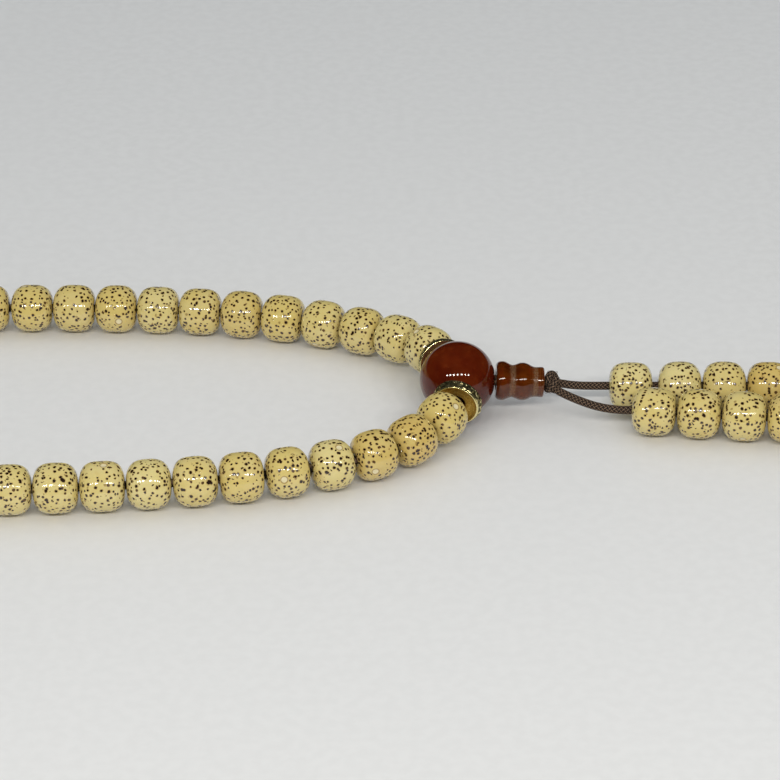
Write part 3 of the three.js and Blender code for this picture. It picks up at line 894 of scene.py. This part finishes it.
def bore_cutter(start, way, radius):
    """A round cutter from start outwards, flared to break the bore's edge."""
    along, across, up = (np.array(v) for v in basis(way))
    sides = 48
    angles = np.arange(sides) / sides * 2 * math.pi
    ring = np.outer(np.cos(angles), up) + np.outer(np.sin(angles), across)
    rings = [(0.0, radius), (GURU_RADIUS - 0.15, radius), (GURU_RADIUS + 2.0, radius + 2.0)]
    verts = np.vstack([np.array(start) + along * a + ring * r for a, r in rings])
    faces = grid_faces(len(rings), sides, False)
    faces += [tuple(range(sides - 1, -1, -1)), tuple(range(2 * sides, 3 * sides))]
    return new_piece("cutter", verts, faces, AGATE)


def apply_modifiers(piece):
    """Makes the modifiers' result the piece's own mesh."""
    graph = bpy.context.evaluated_depsgraph_get()
    mesh = bpy.data.meshes.new_from_object(piece.evaluated_get(graph))
    piece.modifiers.clear()
    piece.data = mesh


def sharpen(piece, degrees):
    """Marks edges sharper than this many degrees, so that smooth shading stops there."""
    shape = bmesh.new()
    shape.from_mesh(piece.data)
    for edge in shape.edges:
        if len(edge.link_faces) == 2:
            edge.smooth = edge.calc_face_angle(0) < math.radians(degrees)
    shape.to_mesh(piece.data)
    shape.free()


def guru_inner_cord():
    """The loop's cord where it crosses the guru bead, seen only down its bores."""
    front, rear = (joint_place(f"spin_spacer_{arm}")[0] for arm in ARMS)
    path = spline([GURU + (front - GURU) * 0.45, GURU + (front - GURU) * 0.2,
                   GURU + (rear - GURU) * 0.2, GURU + (rear - GURU) * 0.45], 0.25)
    piece = braid("cord_in_guru", path, CORD_RADIUS, **HIDDEN_BRAID)
    finish_piece(piece, "loop_cord", "guru_cord")


def hammered(dents):
    """(shape for lathe, values): a ring dented at each (angle, place along it, size)."""
    values = {}

    def shape(a, r, t):
        deep = np.zeros(len(a))
        for angle, along, size in dents:
            turn = (t - angle + math.pi) % (2 * math.pi) - math.pi
            off = np.hypot(turn * SPACER_RADIUS, a - along) / size
            deep = np.maximum(deep, np.where(off < 1, 1 - off * off, 0))
        outside = np.clip((r - 4.08) / 0.12, 0, 1) * np.clip((a + 0.60) / 0.15, 0, 1)
        values["dent"], values["band"] = deep * outside, outside
        return a, r - DENT_DEPTH * deep * outside

    return shape, values


def spacer(arm):
    """A dished ring: hammered outside, with a bright rolled lip round a grainy dish."""
    centre, axis = joint_place(f"spin_spacer_{arm}")
    rng = np.random.default_rng(7 if arm == "front" else 8)
    corners = [(-0.45, 1.6), (-0.72, 3.6), (-0.66, 4.30), (-0.42, SPACER_RADIUS),
               (0.00, 4.46), (0.66, 4.16), (0.76, 4.04), (1.02, 4.00), (1.05, 3.74),
               (0.62, 3.40), (0.42, 2.6), (0.40, 1.6)]
    outline = round_corners(corners, 0.14, 4)
    dents = [(rng.uniform(0, 2 * math.pi), rng.uniform(-0.4, 0.75), rng.uniform(0.14, 0.30))
             for _ in range(DENTS)]
    shape, values = hammered(dents)
    piece = lathe(f"spacer_ring_{arm}", outline, centre, axis, SPACER_SIDES, GOLD, shape)
    add_values(piece.data, values)
    finish_piece(piece, f"spacer_{arm}", f"spacer_{arm}")


def stupa_bead():
    """Two bulges, two grooves and a straight collar, turned in one piece and bored through."""
    start = GURU + STEM * STUPA_START
    outside = [(0.0, 3.0), (0.22, 3.28), (0.7, 3.48), (1.4, 3.50), (2.1, 3.22), (2.9, 2.88),
               (3.6, 3.10), (4.3, 3.36), (5.0, 3.40), (5.7, 3.22), (6.4, 2.86), (7.0, 2.68),
               (7.5, 2.70), (8.1, 2.74), (8.45, 2.70), (8.6, 2.52)]
    smooth = spline([(a, r, 0) for a, r in outside], 0.12)[:, :2]
    inside = [(8.6, 1.75), (8.3, 1.65), (4.3, 1.65), (0.3, 1.65), (0.0, 1.80)]
    outline = np.vstack([smooth, inside])
    piece = lathe("stupa_stone", outline, start, STEM, 96, CARNELIAN)
    finish_piece(piece, "stupa", "stupa_bead")


def stem_knot():
    """The overhand knot that holds the stupa bead, and the two cord ends through the bead."""
    route = knot_path(KNOT, STEM, ring=1.06, swing=0.44, thick=0.70)
    knot = braid("knot_stem", route, 0.70, closed=True, relief=0.09)
    finish_piece(knot, "guru", "stem_knot")
    _, across, _ = basis(STEM)
    for name, side in (("front", -1), ("rear", 1)):
        shift = across * (0.62 * side)
        path = spline([GURU + STEM * 2.6 + shift, GURU + STEM * 9 + shift,
                       GURU + STEM * KNOT_DISTANCE + shift * 0.6], 0.15)
        piece = braid(f"cord_stem_{name}", path, 0.66, sides=20, strands=5)
        finish_piece(piece, "guru", "stem_knot")
    fibres(route)


def square_tube(path, radius):
    """(points, faces) of a thin closed tube with four sides along the path."""
    _, first, second = tube_frames(path)
    verts = []
    for place, one, two in zip(path, first, second):
        for k in range(4):
            turn = k * math.pi / 2
            verts.append(place + radius * (one * math.cos(turn) + two * math.sin(turn)))
    last = 4 * (len(path) - 1)
    faces = grid_faces(len(path), 4, False)
    faces += [(3, 2, 1, 0), (last, last + 1, last + 2, last + 3)]
    return verts, faces


def fibres(route):
    """Loose fibres that bow off the knot's cord, rooted in it at both ends."""
    rng = random.Random(5)
    along, across, up = tube_frames(route)
    verts, faces = [], []
    for _ in range(FIBRES):
        i, angle = rng.randrange(len(route)), rng.uniform(0, 2 * math.pi)
        out = across[i] * math.cos(angle) + up[i] * math.sin(angle)
        around = np.cross(along[i], out)
        lean, bow = rng.uniform(-0.4, 0.4), rng.uniform(0.04, 0.24)
        stops = [(0.0, 0.60), (0.5, 0.74 + bow), (1.0, 0.74 + bow * 0.7), (1.5, 0.60)]
        curve = [route[i] + (out * math.cos(turn) + around * math.sin(turn)) * reach
                 + along[i] * (lean * turn) for turn, reach in stops]
        tube_verts, tube_faces = square_tube(spline(curve, 0.12), FIBRE_RADIUS)
        faces += [tuple(len(verts) + k for k in face) for face in tube_faces]
        verts += tube_verts
    values = {"height": np.full(len(verts), 0.9), "fleck": np.full(len(verts), 0.55)}
    piece = new_piece("knot_fibres", verts, faces, CORD, values)
    finish_piece(piece, "guru", "stem_knot")


# ---- building ----------------------------------------------------------------------------------
strings = add_seeds()
for arm in ARMS:
    counter_string(arm, strings[arm])
    spacer(arm)
loop_cords()
guru_inner_cord()
guru_bead()
stupa_bead()
stem_knot()


# ---- floor and lights, in metres ---------------------------------------------------------------
FLOOR_HALF = 6.0
FLOOR_DROP = 0.0001      # keeps the beads off the floor's own plane
LAMPS = 7
LAMP_SPACING = 0.13
LAMP_DISTANCE = 0.62     # from the guru bead to the middle lamp
LAMP_RISE = math.radians(42)
LAMP_SIZE = 0.050
LAMP_POWER = 0.34
SOFTBOX_PLACE = (0.1, 0.55, 2.0)     # from the object's middle
SOFTBOX_SIZE = 3.0
SOFTBOX_POWER = 7.8
SKY_STRENGTH = 0.46


def floor_material():
    m = Nodes("floor")
    place = m.place()
    fine = m.ramp(m.noise(place, 0.5, 3.0), 0.3, 0.7)
    m.wire(m.mix(fine, (0.800, 0.795, 0.780), (0.820, 0.815, 0.800)), "Base Color")
    m.wire(m.ramp(fine, 0.0, 1.0, 0.50, 0.58), "Roughness")
    return m.material


def make_floor():
    mesh = bpy.data.meshes.new("floor")
    corners = [(-1, -1), (1, -1), (1, 1), (-1, 1)]
    mesh.from_pydata([(x * FLOOR_HALF, y * FLOOR_HALF, 0) for x, y in corners], [], [(0, 1, 2, 3)])
    mesh.materials.append(floor_material())
    floor = link_object("floor", mesh)
    floor.location.z = -FLOOR_DROP


def area_light(name, place, target, size, power, colour=(1, 1, 1), shape="SQUARE"):
    """An area lamp that faces the target."""
    data = bpy.data.lights.new(name, "AREA")
    data.shape, data.size, data.energy, data.color = shape, size, power, colour
    light = link_object(name, data)
    light.location = place
    light.rotation_euler = (Vector(target) - Vector(place)).to_track_quat("-Z", "Y").to_euler()
    return light


def make_lights():
    """A row of small lamps before the object, a large soft one above it and a weak sky. The
    polished stone mirrors only the lamps and the floor."""
    target = GURU * MM
    for i in range(LAMPS):
        along = (i - (LAMPS - 1) / 2) * LAMP_SPACING
        place = target + Vector((along, -math.cos(LAMP_RISE) * LAMP_DISTANCE,
                                 math.sin(LAMP_RISE) * LAMP_DISTANCE))
        area_light(f"lamp_{i + 1}", place, target, LAMP_SIZE, LAMP_POWER, (1, 0.97, 0.92), "DISK")
    middle = (cad_low + cad_high) / 2
    softbox = area_light("softbox", middle + Vector(SOFTBOX_PLACE), middle,
                         SOFTBOX_SIZE, SOFTBOX_POWER)
    softbox.visible_glossy = False
    world = bpy.data.worlds.new("world")
    bpy.context.scene.world = world
    world.use_nodes = True
    sky = world.node_tree.nodes["Background"]
    sky.inputs["Color"].default_value = (0.9, 0.95, 1.0, 1)
    sky.inputs["Strength"].default_value = SKY_STRENGTH
    world.cycles_visibility.glossy = False
    bpy.context.scene.view_settings.view_transform = "Standard"


make_floor()
make_lights()
